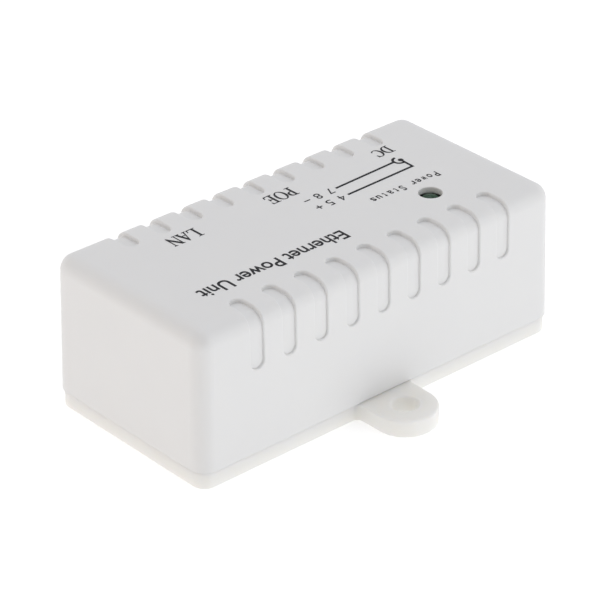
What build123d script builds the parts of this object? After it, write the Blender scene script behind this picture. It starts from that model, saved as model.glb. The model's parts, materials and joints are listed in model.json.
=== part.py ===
from build123d import *
import math
import os

os.makedirs("parts", exist_ok=True)

# Two-port power injector for network cable, in a white moulded case with two fixing lugs.
# Frame: origin at the centre of the base's underside, +X along the case, +Y towards the
# ports, +Z up. All sizes are in millimetres.

# ---- case ----
case_length = 86.0  # outside, along X, at the foot of the walls
case_width = 41.6  # outside, along Y, at the foot of the walls
case_height = 31.0  # underside of the base to the roof
draft = 1.0  # degrees that each wall leans inwards
edge_radius = 3.1  # upright edges and roof edges of the cover
wall = 2.0
roof = 1.8
base_height = 3.5  # edge height of the base plate and thickness of its lugs
base_inset = 0.35  # how far the base's edge stands back from the cover's foot
base_floor = 2.2
base_edge_round = 0.4
seam_gap = 0.1  # shadow line between the base's rim and the cover
lip_height = 1.3  # locating lip above the base's rim
lip_thickness = 1.2
lip_clearance = 0.15
inner_corner = 0.3  # least rounding of an inside corner

# ---- moulded grooves over the roof's two long edges ----
groove_count = 9
groove_pitch = 7.41
groove_width = 3.0
groove_roof_depth = 0.85
groove_side_depth = 0.45
groove_edge_round = 0.3
front_groove_run = 7.1  # from the plain side to the groove's round end on the roof
rear_groove_run = 8.0
front_groove_drop = 10.9  # from the roof to the round end on the plain side
rear_groove_drop = 7.8  # shorter on the port side, clear of the windows

# ---- fixing lugs ----
lug_reach = 26.1  # from the case's centre line to the screw hole
lug_radius = 6.2
lug_hole_radius = 2.5
lug_root_radius = 1.2

# ---- screws, which clamp base, board and cover ----
screw_radius = 1.3
screw_length = 10.0
screw_head_radius = 2.4
screw_head_height = 1.5
screw_head_depth = 0.4  # how far the head sits inside the base
screw_clearance = 0.2
head_clearance = 0.3
boss_radius = 3.0
boss_wall_space = 6.0  # from the case's end to a boss's axis
boss_side_space = 6.4  # from the case's side to a boss's axis
web_thickness = 1.2
pilot_spare = 1.0  # pilot holes run this far past the screws' tips
screw_head_round = 0.67
screw_tip_chamfer = 0.65
cross_width = 0.7  # arms of the cross recess
cross_reach = 1.45  # from the screw's axis to an arm's end
cross_depth = 0.9

# ---- circuit board ----
board_thickness = 1.6
board_lift = 2.8  # from the base's floor to the underside of the board
board_end_gap = 0.6  # board's short edges to the cover's inside
board_rear_gap = 0.4  # board's port-side edge to the cover's inside
board_front_gap = 1.9  # room to slide the jacks into their windows
board_corner = 1.0
lead_tail = 1.4  # leads stand this far out below the board
hole_clearance = 0.2

# ---- port positions ----
port_recess = 0.5  # jack faces behind the foot of the case's side
lan_end_space = 21.6  # from the case's -X end to the LAN jack's axis
dc_end_space = 14.8  # from the case's +X end to the DC jack's axis
poe_offset = 1.5  # PoE jack's axis to the -X side of midway between the other two
window_clearance = 0.25
window_corner = 0.5

# ---- 8P8C jacks ----
jack_width = 16.0
jack_depth = 21.0
jack_height = 13.3
jack_face_chamfer = 0.3
plug_width = 11.9  # plug space, clear width
plug_height = 6.9
plug_depth = 12.5
plug_floor = 3.9  # jack's underside to the floor of the plug space
latch_width = 6.5
latch_depth = 2.6  # latch channel below the plug space
latch_lip = 1.5  # front lip that the plug's latch snaps behind
latch_mouth = 3.6  # gap in that lip
latch_shoulder = 0.9  # height of the full-width part of the lip's gap
peg_radius = 1.6
peg_reach = 1.2  # pegs stand this far out below the board
peg_spread = 5.7
peg_setback = 8.9
insert_clearance = 0.1
insert_wall = 1.1  # jack wall round the contact insert
insert_front = 3.2  # insert's front end behind the jack's face
tongue_height = 1.3
tongue_width = 10.2
tongue_front_room = 0.45  # housing cut away this far in front of the wires' hinge
comb_low_room = 0.6  # comb slots run this far below the wires' lowest reach

# ---- contact wires of the 8P8C jacks ----
wire_count = 8
wire_pitch = 1.016
wire_width = 0.45
wire_thickness = 0.36
wire_slope = 22.0  # degrees below level at rest
wire_free_length = 11.0
wire_hinge_setback = 2.95
wire_hinge_drop = 0.4  # hinge below the top of the plug space
wire_hinge_gap = 0.08
wire_run_cover = 0.3  # insert left above the wires' level runs
wire_tip_round = 0.14
comb_slot = 0.68
comb_depth = 2.2
leg_rows = (15.0, 17.54)  # setbacks of the two staggered rows of legs

# ---- DC jack ----
dc_width = 9.0
dc_depth = 14.0
dc_flange = 3.6
dc_axis_height = 6.5
dc_back_height = 10.2
dc_bore_radius = 3.15
dc_bore_depth = 9.8
dc_pin_radius = 1.0
dc_pin_setback = 0.9
dc_stem_radius = 0.8  # thinner stem where the pin passes the jack's back wall
dc_mouth_chamfer = 0.4
dc_plug_radius = 2.75
dc_pin_nose_round = 0.5
sheet_thickness = 0.3  # stamped terminals
leaf_width = 2.4
leaf_side_gap = 0.4
leaf_rise = 0.45  # how far the leaf stands into the plug's sleeve space
leaf_root_inset = 1.6  # leaf's root from the jack's back
leaf_root_height = 1.2
leaf_crest_setback = 5.6
leaf_tip_setback = 3.2
leaf_tip_drop = 1.1
leaf_gap = 0.08  # between the leaf's root and its terminal
leaf_pocket_front = 2.2  # pocket's front end behind the jack's face
leaf_pocket_back = 0.8  # jack's back wall behind the pocket
leaf_pocket_rise = 0.5  # how far the pocket opens into the bore
switch_setback = 7.0  # switch contact's slot behind the jack's face
switch_slot = 2.4
switch_side_gap = 0.2
switch_height = 2.2

# ---- indicator lamp ----
led_end_space = 19.8  # from the case's +X end
led_side_space = 13.1  # from the case's plain side
led_hole_radius = 2.25
led_hole_round = 0.2
led_hole_relief = 0.6  # cone on the hole's inner rim, so that the dome stands up into it
led_radius = 2.45
led_flange_radius = 2.9
led_flange_height = 1.0
led_length = 8.6
led_recess = 0.5  # lens top below the roof's outside
led_pitch = 2.54
led_lead = 0.5

# ---- parts on the board ----
part_gap = 0.4  # least space between neighbours
capacitor_radius = 4.0
capacitor_height = 12.0
capacitor_sleeve = 0.12
capacitor_seal_radius = 3.3
capacitor_seal_height = 1.6
capacitor_pitch = 3.5
capacitor_stand = 0.3
capacitor_setback = 2.0  # capacitor's axis in front of the DC jack's back
can_edge_round = 0.5
crimp_height = 2.2
crimp_round = 0.6  # radius of the rolled groove over the seal
crimp_depth = 0.4
sleeve_low = 3.0  # sleeve's lower edge above the can's foot
sleeve_high = 0.6  # sleeve's upper edge below the can's top
lead_radius = 0.3
fuse_radius = 3.7
fuse_thickness = 3.1
fuse_edge_round = 0.9
fuse_pitch = 5.1
fuse_stand = 1.5
fuse_gap = 2.5  # from the capacitor to the fuse
diode_radius = 1.35
diode_length = 5.2
diode_edge_round = 0.25
diode_pitch = 10.0
diode_stand = 0.3
diode_offset = 2.6  # diode's middle to the +X side of the DC jack's axis
diode_gap = 4.0  # diode's axis behind the DC jack's back
surge_length = 4.3
surge_width = 3.6
surge_height = 2.3
surge_stand = 0.1
surge_offset = 3.0  # surge diode's middle to the +X side of the DC jack's axis
surge_gap = 6.5  # surge diode's middle from the other diode's axis
surge_tab_inset = 0.7  # tabs narrower than the body, each side
surge_tab_length = 0.8
tab_thickness = 0.2
package_chamfer = 0.3  # top edges of the moulded packages
magnetics_length = 15.2
magnetics_width = 9.4
magnetics_height = 5.6
magnetics_span = 12.0  # across the feet of its legs
magnetics_legs = 12  # on each long side
magnetics_pitch = 1.2
magnetics_stand = 0.2
magnetics_gap = 2.2  # from the jacks' backs to the transformer's legs
leg_width = 0.5
leg_thickness = 0.2
leg_knee = 0.5  # legs bend down this far from the body
leg_shoulder = 1.4  # top of the legs above the board
dot_inset = 1.5  # pin-one dot from the body's two sides
dot_radius = 0.5
dot_depth = 0.15
chip_length = 2.0
chip_width = 1.25
chip_height = 0.6
chip_pitch = 2.6
chip_count = 4
chip_gap = 2.6  # from the transformer's end to the nearest chip's middle

# ---- working values ----
past = 1.0  # cutters run this far past the faces they cut
touch = 0.01  # an edge this near a plane lies in it

# ---- derived places ----
lean = math.tan(math.radians(draft))
seam_z = base_height + seam_gap
roof_z = case_height - roof
inner_half_length = case_length / 2 - seam_z * lean - wall
inner_half_width = case_width / 2 - seam_z * lean - wall
board_bottom = base_floor + board_lift
board_top = board_bottom + board_thickness
board_half_length = inner_half_length - board_end_gap
board_rear = inner_half_width - board_rear_gap
board_front = -(inner_half_width - board_front_gap)
tail_z = board_bottom - lead_tail
boss_x = case_length / 2 - boss_wall_space
boss_y = case_width / 2 - boss_side_space
head_seat = screw_head_depth + screw_head_height
port_y = case_width / 2 - port_recess
lan_x = -(case_length / 2 - lan_end_space)
dc_x = case_length / 2 - dc_end_space
poe_x = (lan_x + dc_x) / 2 - poe_offset
led_x = case_length / 2 - led_end_space
led_y = -(case_width / 2 - led_side_space)
jack_back = port_y - jack_depth
poe_side = poe_x + jack_width / 2
dc_side = dc_x - dc_width / 2
dc_back = port_y - dc_depth
corners = [(side_x, side_y) for side_x in (-1, 1) for side_y in (-1, 1)]


def block(x_span, y_span, z_span):
    """A plain block between the given low and high values on each axis."""
    size = Box(x_span[1] - x_span[0], y_span[1] - y_span[0], z_span[1] - z_span[0])
    return Pos(sum(x_span) / 2, sum(y_span) / 2, sum(z_span) / 2) * size


def rod(x, y, radius, z_span):
    """An upright round bar."""
    return Pos(x, y, sum(z_span) / 2) * Cylinder(radius, z_span[1] - z_span[0])


def group(pieces):
    """Separate solids that make one node."""
    return Compound([solid for piece in pieces for solid in piece.solids()])


def save(node, shape):
    export_step(shape, f"parts/{node}.step")


def drafted_block(inset, foot, top, radius):
    """The cover's outer form drawn in by inset, with its upright and top edges rounded."""
    outline = Rectangle(
        case_length - 2 * (inset + foot * lean),
        case_width - 2 * (inset + foot * lean),
    )
    blank = extrude(Pos(0, 0, foot) * outline, top - foot, taper=draft)
    above_foot = [e for e in blank.edges() if e.center().Z > foot + (top - foot) / 4]
    return fillet(above_foot, radius)


# ---- cover ----
def groove_cutter(side, run, drop, core):
    """All grooves over one long edge, round-ended on roof and side, down to the core."""
    half = groove_width / 2
    end_y = case_width / 2 - run + half
    end_z = case_height - drop + half
    beyond = groove_roof_depth + past
    cutters = []
    for number in range(groove_count):
        x = (number - (groove_count - 1) / 2) * groove_pitch
        plan = rod(x, side * end_y, half, (end_z - groove_width, case_height + beyond))
        y_span = sorted((side * end_y, side * (case_width / 2 + beyond)))
        plan += block((x - half, x + half), y_span, (end_z - groove_width, case_height + beyond))
        low_end = Pos(x, side * case_width / 2, end_z) * Rot(90, 0, 0) * Cylinder(half, case_width)
        upright = block(
            (x - half, x + half),
            (-case_width, case_width),
            (end_z, case_height + beyond),
        )
        cutters.append((plan & (low_end + upright)) - core)
    return cutters


def cover_shell():
    outer = drafted_block(0, seam_z, case_height, edge_radius)
    core_top = case_height - groove_roof_depth
    core_round = edge_radius - groove_side_depth
    core = drafted_block(groove_side_depth, seam_z - past, core_top, core_round)
    shell = outer
    front = (-1, front_groove_run, front_groove_drop)
    rear = (1, rear_groove_run, rear_groove_drop)
    for side, run, drop in (front, rear):
        for cutter in groove_cutter(side, run, drop, core):
            shell -= cutter
    skin = outer.shells()[0]
    rims = [e for e in shell.edges() if on_groove_rim(e, skin)]
    shell = fillet(rims, groove_edge_round)
    shell -= drafted_block(wall, seam_z - past, roof_z, max(edge_radius - wall, inner_corner))
    pilot = (board_top - past, head_seat + screw_length + pilot_spare)
    for side_x, side_y in corners:
        shell += cover_post(side_x, side_y)
        shell -= rod(side_x * boss_x, side_y * boss_y, screw_radius, pilot)
    shell -= rod(led_x, led_y, led_hole_radius, (roof_z - past, case_height + past))
    relief = Cone(led_hole_radius + led_hole_relief, led_hole_radius, led_hole_relief)
    shell -= Pos(led_x, led_y, roof_z + led_hole_relief / 2) * relief
    led_rim = [
        e
        for e in shell.edges().filter_by(GeomType.CIRCLE)
        if abs(e.radius - led_hole_radius) < touch and e.center().Z > case_height - touch
    ]
    shell = fillet(led_rim, led_hole_round)
    for x in (lan_x, poe_x):
        shell -= jack_window(x)
    shell -= dc_window()
    return shell


def on_groove_rim(edge, skin):
    """True for the edges where a groove's side meets the cover's outer skin."""
    middle = edge.position_at(0.5)
    pattern_half = (groove_count - 1) / 2 * groove_pitch + groove_width / 2
    lowest = case_height - max(front_groove_drop, rear_groove_drop)
    if abs(middle.X) > pattern_half + touch or middle.Z < lowest - touch:
        return False
    first = -(groove_count - 1) / 2 * groove_pitch
    number = round((middle.X - first) / groove_pitch)
    if abs(middle.X - first - number * groove_pitch) > groove_width / 2 + touch:
        return False
    return Vertex(middle.X, middle.Y, middle.Z).distance_to(skin) < touch


def cover_post(side_x, side_y):
    """Screw post from the roof to the board, tied to both walls by thin webs."""
    x = side_x * boss_x
    y = side_y * boss_y
    z_span = (board_top, roof_z + roof / 2)
    post = rod(x, y, boss_radius, z_span)
    half = web_thickness / 2
    x_end = side_x * (inner_half_length + wall / 2 - case_height * lean)
    y_end = side_y * (inner_half_width + wall / 2 - case_height * lean)
    post += block(sorted((x, x_end)), (y - half, y + half), z_span)
    post += block((x - half, x + half), sorted((y, y_end)), z_span)
    return post


def jack_window(x):
    """Opening for an 8P8C jack in the port side."""
    opening = Pos(x, 0, board_top + jack_height / 2) * Rot(90, 0, 0) * RectangleRounded(
        jack_width + 2 * window_clearance,
        jack_height + 2 * window_clearance,
        window_corner,
    )
    return Pos(0, case_width / 2 + past, 0) * extrude(opening, wall + 3 * past, dir=(0, -1, 0))


def dc_face(clearance):
    """The DC jack's face: square-footed with a half-round top."""
    face = Pos(0, dc_axis_height) * Circle(dc_width / 2 + clearance)
    face += Pos(0, (dc_axis_height - clearance) / 2) * Rectangle(
        dc_width + 2 * clearance, dc_axis_height + clearance
    )
    return face


def dc_window():
    """Opening for the DC jack in the port side."""
    place = Pos(dc_x, case_width / 2 + past, board_top)
    opening = place * Rot(90, 0, 0) * dc_face(window_clearance)
    return extrude(opening, wall + 3 * past, dir=(0, -1, 0))


# ---- base plate ----
def base_plate():
    length = case_length - 2 * (seam_z * lean + base_inset)
    width = case_width - 2 * (seam_z * lean + base_inset)
    outline = RectangleRounded(length, width, edge_radius - base_inset)
    for side in (-1, 1):
        outline += Pos(0, side * lug_reach / 2) * Rectangle(2 * lug_radius, lug_reach)
        outline += Pos(0, side * lug_reach) * Circle(lug_radius)
    plate = extrude(outline, base_height)
    roots = [
        e
        for e in plate.edges().filter_by(Axis.Z)
        if abs(abs(e.center().X) - lug_radius) < touch and abs(abs(e.center().Y) - width / 2) < touch
    ]
    plate = fillet(roots, lug_root_radius)
    for side in (-1, 1):
        plate -= rod(0, side * lug_reach, lug_hole_radius, (-past, base_height + past))
    rims = [e for e in plate.edges() if abs(e.center().Z - e.bounding_box().max.Z) < touch]
    plate = fillet(rims, base_edge_round)

    lip_half_length = inner_half_length - lip_clearance
    lip_half_width = inner_half_width - lip_clearance
    corner = max(edge_radius - wall - lip_clearance, inner_corner)
    lip = RectangleRounded(2 * lip_half_length, 2 * lip_half_width, corner)
    plate += Pos(0, 0, base_height / 2) * extrude(lip, base_height / 2 + lip_height)
    pocket = Rectangle(2 * (lip_half_length - lip_thickness), 2 * (lip_half_width - lip_thickness))
    plate -= Pos(0, 0, base_floor) * extrude(pocket, base_height + lip_height)
    for side_x, side_y in corners:
        x = side_x * boss_x
        y = side_y * boss_y
        plate += rod(x, y, boss_radius, (base_floor / 2, board_bottom))
        plate -= rod(x, y, screw_radius + screw_clearance, (-past, board_bottom + past))
        plate -= rod(x, y, screw_head_radius + head_clearance, (-past, head_seat))
    return plate


def case_screw(x, y):
    """Self-tapping screw, driven from below, with a domed head and a cross recess."""
    head = rod(0, 0, screw_head_radius, (screw_head_depth, head_seat))
    low_rim = [e for e in head.edges() if e.center().Z < screw_head_depth + touch]
    head = fillet(low_rim, screw_head_round)
    shank = rod(0, 0, screw_radius, (head_seat, head_seat + screw_length))
    tip_rim = [e for e in shank.edges() if e.center().Z > head_seat + screw_length - touch]
    screw = head + chamfer(tip_rim, screw_tip_chamfer)
    recess = (screw_head_depth - past, screw_head_depth + cross_depth)
    arm = (-cross_reach, cross_reach)
    arm_width = (-cross_width / 2, cross_width / 2)
    screw -= block(arm, arm_width, recess)
    screw -= block(arm_width, arm, recess)
    return Pos(x, y, 0) * screw


def case_screws():
    return group([case_screw(side_x * boss_x, side_y * boss_y) for side_x, side_y in corners])


# ---- 8P8C jack, drawn with its face on the XZ plane and its underside on the XY plane ----
plug_top = plug_floor + plug_height
insert_top = plug_top + tongue_height
wire_xs = [(n - (wire_count - 1) / 2) * wire_pitch for n in range(wire_count)]
hinge_z = plug_top - wire_hinge_drop


def jack_housing():
    half = jack_width / 2
    body = block((-half, half), (-jack_depth, 0), (0, jack_height))
    face_edges = [e for e in body.edges() if abs(e.center().Y) < touch]
    body = chamfer(face_edges, jack_face_chamfer)
    plug_half = plug_width / 2
    body -= block((-plug_half, plug_half), (-plug_depth, past), (plug_floor, plug_top))
    latch_half = latch_width / 2
    channel_floor = plug_floor - latch_depth
    body -= block((-latch_half, latch_half), (-plug_depth, -latch_lip), (channel_floor, plug_floor))
    shoulder_z = plug_floor - latch_shoulder
    body -= block((-latch_half, latch_half), (-latch_lip, past), (shoulder_z, plug_floor))
    mouth_half = latch_mouth / 2
    body -= block((-mouth_half, mouth_half), (-latch_lip, past), (channel_floor, shoulder_z))
    rear_half = half - insert_wall
    rear_top = insert_top + insert_clearance
    body -= block((-rear_half, rear_half), (-jack_depth - past, -plug_depth), (-past, rear_top))
    tongue_half = tongue_width / 2 + insert_clearance
    tongue_front = -(wire_hinge_setback - tongue_front_room)
    body -= block((-tongue_half, tongue_half), (-plug_depth, tongue_front), (plug_top, rear_top))
    for side in (-1, 1):
        low = -(board_thickness + peg_reach)
        body += rod(side * peg_spread, -peg_setback, peg_radius, (low, 0))
    return body


def wire_root(index):
    """Fixed part of one contact wire: hairpin end, run along the roof, leg through the board."""
    x = wire_xs[index]
    x_span = (x - wire_width / 2, x + wire_width / 2)
    half = wire_thickness / 2
    run_top = insert_top - wire_run_cover
    row = leg_rows[index % 2]
    tail = -(board_thickness + lead_tail)
    hook_low = hinge_z + half + wire_hinge_gap
    hook = block(
        x_span,
        (-wire_hinge_setback - half, -wire_hinge_setback + half),
        (hook_low, run_top),
    )
    run = block(x_span, (-row - half, -wire_hinge_setback + half), (run_top - wire_thickness, run_top))
    leg = block(x_span, (-row - half, -row + half), (tail, run_top))
    return hook + run + leg


def wire_spring(index):
    """Sprung part of one contact wire, from the hairpin down and back to the comb."""
    half = wire_thickness / 2
    bar = block((-wire_width / 2, wire_width / 2), (-wire_free_length, 0), (-half, half))
    root_end = Rot(0, 90, 0) * Cylinder(half, wire_width)
    tip_edges = [e for e in bar.edges().filter_by(Axis.X) if e.center().Y < -wire_free_length + touch]
    bar = fillet(tip_edges, wire_tip_round)
    place = Pos(wire_xs[index], -wire_hinge_setback, hinge_z) * Rot(wire_slope, 0, 0)
    return place * (bar + root_end)


def jack_insert():
    """Contact insert: tongue under the jack's roof and a back block with the comb."""
    gap = insert_clearance
    rear_half = jack_width / 2 - insert_wall - gap
    block_front = -plug_depth - gap
    back = block((-rear_half, rear_half), (-jack_depth + gap, block_front), (0, insert_top))
    tongue_half = tongue_width / 2
    back += block((-tongue_half, tongue_half), (block_front - past, -insert_front), (plug_top, insert_top))
    sweep = math.sin(math.radians(wire_slope)) * wire_free_length
    slot_low = hinge_z - sweep - wire_thickness - comb_low_room
    for x in wire_xs:
        slot = (x - comb_slot / 2, x + comb_slot / 2)
        back -= block(slot, (block_front - comb_depth, block_front + past), (slot_low, plug_top))
    for index in range(wire_count):
        back -= wire_root(index)
    return back


def place_jack(x):
    return Pos(x, port_y, board_top)


# ---- DC jack, drawn like the 8P8C jack ----
leaf_root_y = -(dc_depth - leaf_root_inset)
leaf_crest_z = dc_axis_height - dc_plug_radius + leaf_rise
leaf_pocket = (-(dc_depth - leaf_pocket_back), -leaf_pocket_front)
switch_y = (-switch_setback - switch_slot, -switch_setback)


def dc_housing():
    front = extrude(Rot(90, 0, 0) * dc_face(0), dc_flange, dir=(0, -1, 0))
    half = dc_width / 2
    body = front + block((-half, half), (-dc_depth, -dc_flange), (0, dc_back_height))
    bore_shape = Rot(90, 0, 0) * Cylinder(dc_bore_radius, dc_bore_depth)
    body -= Pos(0, -dc_bore_depth / 2, dc_axis_height) * bore_shape
    mouth = [
        e
        for e in body.edges().filter_by(GeomType.CIRCLE)
        if abs(e.radius - dc_bore_radius) < touch and abs(e.center().Y) < touch
    ]
    body = chamfer(mouth, dc_mouth_chamfer)
    stem_hole = Rot(90, 0, 0) * Cylinder(dc_stem_radius, dc_depth + past)
    body -= Pos(0, -dc_depth / 2, dc_axis_height) * stem_hole
    slot_half = leaf_width / 2 + leaf_side_gap
    pocket_top = dc_axis_height - dc_bore_radius + leaf_pocket_rise
    body -= block((-slot_half, slot_half), leaf_pocket, (-past, pocket_top))
    body -= block((0, half + past), switch_y, (-past, switch_height + sheet_thickness))
    return body


def dc_pin():
    """Centre pin, whose thinner stem is riveted to its terminal at the jack's back."""
    back_y = -dc_depth
    foot_y = -dc_bore_depth
    front_y = -dc_pin_setback
    pin = Pos(0, (foot_y + front_y) / 2, dc_axis_height) * Rot(90, 0, 0) * Cylinder(
        dc_pin_radius, front_y - foot_y
    )
    nose = [e for e in pin.edges() if e.center().Y > front_y - touch]
    pin = fillet(nose, dc_pin_nose_round)
    pin += Pos(0, (back_y + foot_y) / 2, dc_axis_height) * Rot(90, 0, 0) * Cylinder(
        dc_stem_radius, foot_y - back_y
    )
    tail = -(board_thickness + lead_tail)
    half = leaf_width / 2
    plate = block((-half, half), (back_y - sheet_thickness, back_y), (tail, dc_axis_height + half))
    return pin + plate


def dc_leaf():
    """Sprung sleeve contact: rises from its root to a crest inside the bore."""
    line = Polyline(
        (leaf_root_y, leaf_root_height),
        (-leaf_crest_setback, leaf_crest_z - sheet_thickness),
        (-leaf_tip_setback, leaf_crest_z - leaf_tip_drop),
    )
    strip = make_face(offset_strip(line, sheet_thickness))
    return extrude(Plane.YZ * strip, leaf_width / 2, both=True)


def offset_strip(line, thickness):
    """Closed outline of a bent strip: the line below and the same line raised above it."""
    low = [line @ 0, line.edges()[0] @ 1, line @ 1]
    high = [p + Vector(0, thickness) for p in reversed(low)]
    return Polyline(*low, *high, close=True)


def dc_sleeve_terminal():
    """Fixed root of the sleeve contact, through the board."""
    half = leaf_width / 2
    tail = -(board_thickness + lead_tail)
    high = leaf_root_height + sheet_thickness
    y_high = leaf_root_y - leaf_gap
    return block((-half, half), (y_high - sheet_thickness, y_high), (tail, high))


def dc_switch_terminal():
    """Fixed switch contact: a finger beside the leaf and a leg down the jack's side."""
    side = dc_width / 2
    inner = leaf_width / 2 + leaf_side_gap / 2
    tail = -(board_thickness + lead_tail)
    y_span = (switch_y[0] + switch_side_gap, switch_y[1] - switch_side_gap)
    leg = block((side - sheet_thickness, side), y_span, (tail, switch_height))
    finger = block((inner, side), y_span, (switch_height - sheet_thickness, switch_height))
    return leg + finger


def place_dc():
    return Pos(dc_x, port_y, board_top)


# ---- indicator lamp ----
led_top = case_height - led_recess
led_foot = led_top - led_length


def led_lens():
    lens = rod(led_x, led_y, led_radius, (led_foot, led_top - led_radius))
    lens += Pos(led_x, led_y, led_top - led_radius) * Sphere(led_radius)
    lens += rod(led_x, led_y, led_flange_radius, (led_foot, led_foot + led_flange_height))
    return lens


def led_leads():
    half = led_lead / 2
    pieces = []
    for side in (-1, 1):
        x = led_x + side * led_pitch / 2
        pieces.append(block((x - half, x + half), (led_y - half, led_y + half), (tail_z, led_foot)))
    return group(pieces)


# ---- electrolytic capacitor, between the PoE jack and the DC jack or else behind the latter ----
capacitor_reach = capacitor_radius + capacitor_sleeve + part_gap
capacitor_x = max((poe_side + dc_side) / 2, poe_side + capacitor_reach)
if capacitor_x + capacitor_reach <= dc_side:
    capacitor_y = dc_back + capacitor_setback
else:
    capacitor_y = dc_back - capacitor_reach
capacitor_foot = board_top + capacitor_stand
capacitor_top = capacitor_foot + capacitor_height
capacitor_lead_xs = [capacitor_x + side * capacitor_pitch / 2 for side in (-1, 1)]


def capacitor_can():
    can = rod(capacitor_x, capacitor_y, capacitor_radius, (capacitor_foot, capacitor_top))
    top_rim = [e for e in can.edges() if e.center().Z > capacitor_top - touch]
    can = fillet(top_rim, can_edge_round)
    crimp = Torus(capacitor_radius - crimp_depth + crimp_round, crimp_round)
    can -= Pos(capacitor_x, capacitor_y, capacitor_foot + crimp_height) * crimp
    seal_top = capacitor_foot + capacitor_seal_height
    can -= rod(capacitor_x, capacitor_y, capacitor_seal_radius, (capacitor_foot - past, seal_top))
    return can


def capacitor_seal():
    top = capacitor_foot + capacitor_seal_height
    seal = rod(capacitor_x, capacitor_y, capacitor_seal_radius, (board_top, top))
    for x in capacitor_lead_xs:
        seal -= rod(x, capacitor_y, lead_radius, (board_top - past, top + past))
    return seal


def capacitor_sleeve_tube():
    """Printed plastic sleeve shrunk over the can's straight part."""
    z_span = (capacitor_foot + sleeve_low, capacitor_top - sleeve_high)
    outer = rod(capacitor_x, capacitor_y, capacitor_radius + capacitor_sleeve, z_span)
    return outer - rod(capacitor_x, capacitor_y, capacitor_radius, z_span)


def capacitor_leads():
    top = capacitor_foot + capacitor_seal_height
    return group([rod(x, capacitor_y, lead_radius, (tail_z, top)) for x in capacitor_lead_xs])


# ---- resettable fuse, a coated disc on two leads ----
fuse_x = max((poe_side + dc_side) / 2, poe_side + fuse_radius + part_gap)
fuse_y = fuse_thickness / 2 + max(
    capacitor_y - capacitor_radius - fuse_gap - fuse_thickness,
    led_y + led_lead / 2 + part_gap,
)
fuse_z = board_top + fuse_stand + fuse_radius
fuse_lead_xs = [fuse_x + side * fuse_pitch / 2 for side in (-1, 1)]


def fuse_disc():
    disc = Pos(fuse_x, fuse_y, fuse_z) * Rot(90, 0, 0) * Cylinder(fuse_radius, fuse_thickness)
    disc = fillet(disc.edges().filter_by(GeomType.CIRCLE), fuse_edge_round)
    for x in fuse_lead_xs:
        disc -= rod(x, fuse_y, lead_radius, (tail_z, fuse_z))
    return disc


def fuse_leads():
    return group([rod(x, fuse_y, lead_radius, (tail_z, fuse_z)) for x in fuse_lead_xs])


# ---- polarity diode, lying behind the DC jack ----
diode_x = max(
    dc_x + diode_offset,
    capacitor_x + capacitor_reach + lead_radius + diode_pitch / 2,
)
diode_y = dc_back - diode_gap
diode_z = board_top + diode_radius + diode_stand
diode_lead_xs = [diode_x + side * diode_pitch / 2 for side in (-1, 1)]


def diode_body():
    body = Pos(diode_x, diode_y, diode_z) * Rot(0, 90, 0) * Cylinder(diode_radius, diode_length)
    return fillet(body.edges().filter_by(GeomType.CIRCLE), diode_edge_round)


def diode_leads():
    pieces = []
    for side, x in zip((-1, 1), diode_lead_xs):
        inner = diode_x + side * diode_length / 2
        run = Pos((x + inner) / 2, diode_y, diode_z) * Rot(0, 90, 0) * Cylinder(
            lead_radius, abs(x - inner)
        )
        bend = Pos(x, diode_y, diode_z) * Sphere(lead_radius)
        pieces.append(run + bend + rod(x, diode_y, lead_radius, (tail_z, diode_z)))
    return group(pieces)


# ---- surge diode, surface mounted near the plain side ----
surge_x = dc_x + surge_offset
surge_y = diode_y - surge_gap


def surge_body():
    foot = board_top + surge_stand
    body = block(
        (surge_x - surge_length / 2, surge_x + surge_length / 2),
        (surge_y - surge_width / 2, surge_y + surge_width / 2),
        (foot, foot + surge_height),
    )
    top_edges = [e for e in body.edges() if e.center().Z > foot + surge_height - touch]
    return chamfer(top_edges, package_chamfer)


def surge_tabs():
    pieces = []
    half = surge_width / 2 - surge_tab_inset
    y_span = (surge_y - half, surge_y + half)
    for side in (-1, 1):
        inner = surge_x + side * surge_length / 2
        riser_x = sorted((inner, inner + side * tab_thickness))
        foot_x = sorted((inner, inner + side * surge_tab_length))
        riser = block(riser_x, y_span, (board_top, board_top + surge_height / 2))
        foot = block(foot_x, y_span, (board_top, board_top + tab_thickness))
        pieces.append(riser + foot)
    return group(pieces)


# ---- network transformer behind the gap between the two 8P8C jacks ----
magnetics_x = (lan_x + poe_x) / 2
magnetics_y = jack_back - magnetics_gap - magnetics_span / 2


def magnetics_body():
    foot = board_top + magnetics_stand
    body = block(
        (magnetics_x - magnetics_length / 2, magnetics_x + magnetics_length / 2),
        (magnetics_y - magnetics_width / 2, magnetics_y + magnetics_width / 2),
        (foot, foot + magnetics_height),
    )
    top = foot + magnetics_height
    body = chamfer([e for e in body.edges() if e.center().Z > top - touch], package_chamfer)
    dot_x = magnetics_x - magnetics_length / 2 + dot_inset
    dot_y = magnetics_y - magnetics_width / 2 + dot_inset
    return body - rod(dot_x, dot_y, dot_radius, (top - dot_depth, top + past))


def magnetics_leads():
    """Gull-wing legs down both long sides."""
    shoulder_z = board_top + leg_shoulder
    pieces = []
    for side in (-1, 1):
        wall_y = magnetics_y + side * magnetics_width / 2
        toe_y = magnetics_y + side * magnetics_span / 2
        knee_y = wall_y + side * leg_knee
        riser_y = knee_y - side * leg_thickness
        for number in range(magnetics_legs):
            x = magnetics_x + (number - (magnetics_legs - 1) / 2) * magnetics_pitch
            x_span = (x - leg_width / 2, x + leg_width / 2)
            shoulder = block(
                x_span, sorted((wall_y, knee_y)), (shoulder_z - leg_thickness, shoulder_z)
            )
            riser = block(x_span, sorted((riser_y, knee_y)), (board_top, shoulder_z))
            foot = block(x_span, sorted((riser_y, toe_y)), (board_top, board_top + leg_thickness))
            pieces.append(shoulder + riser + foot)
    return group(pieces)


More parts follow.
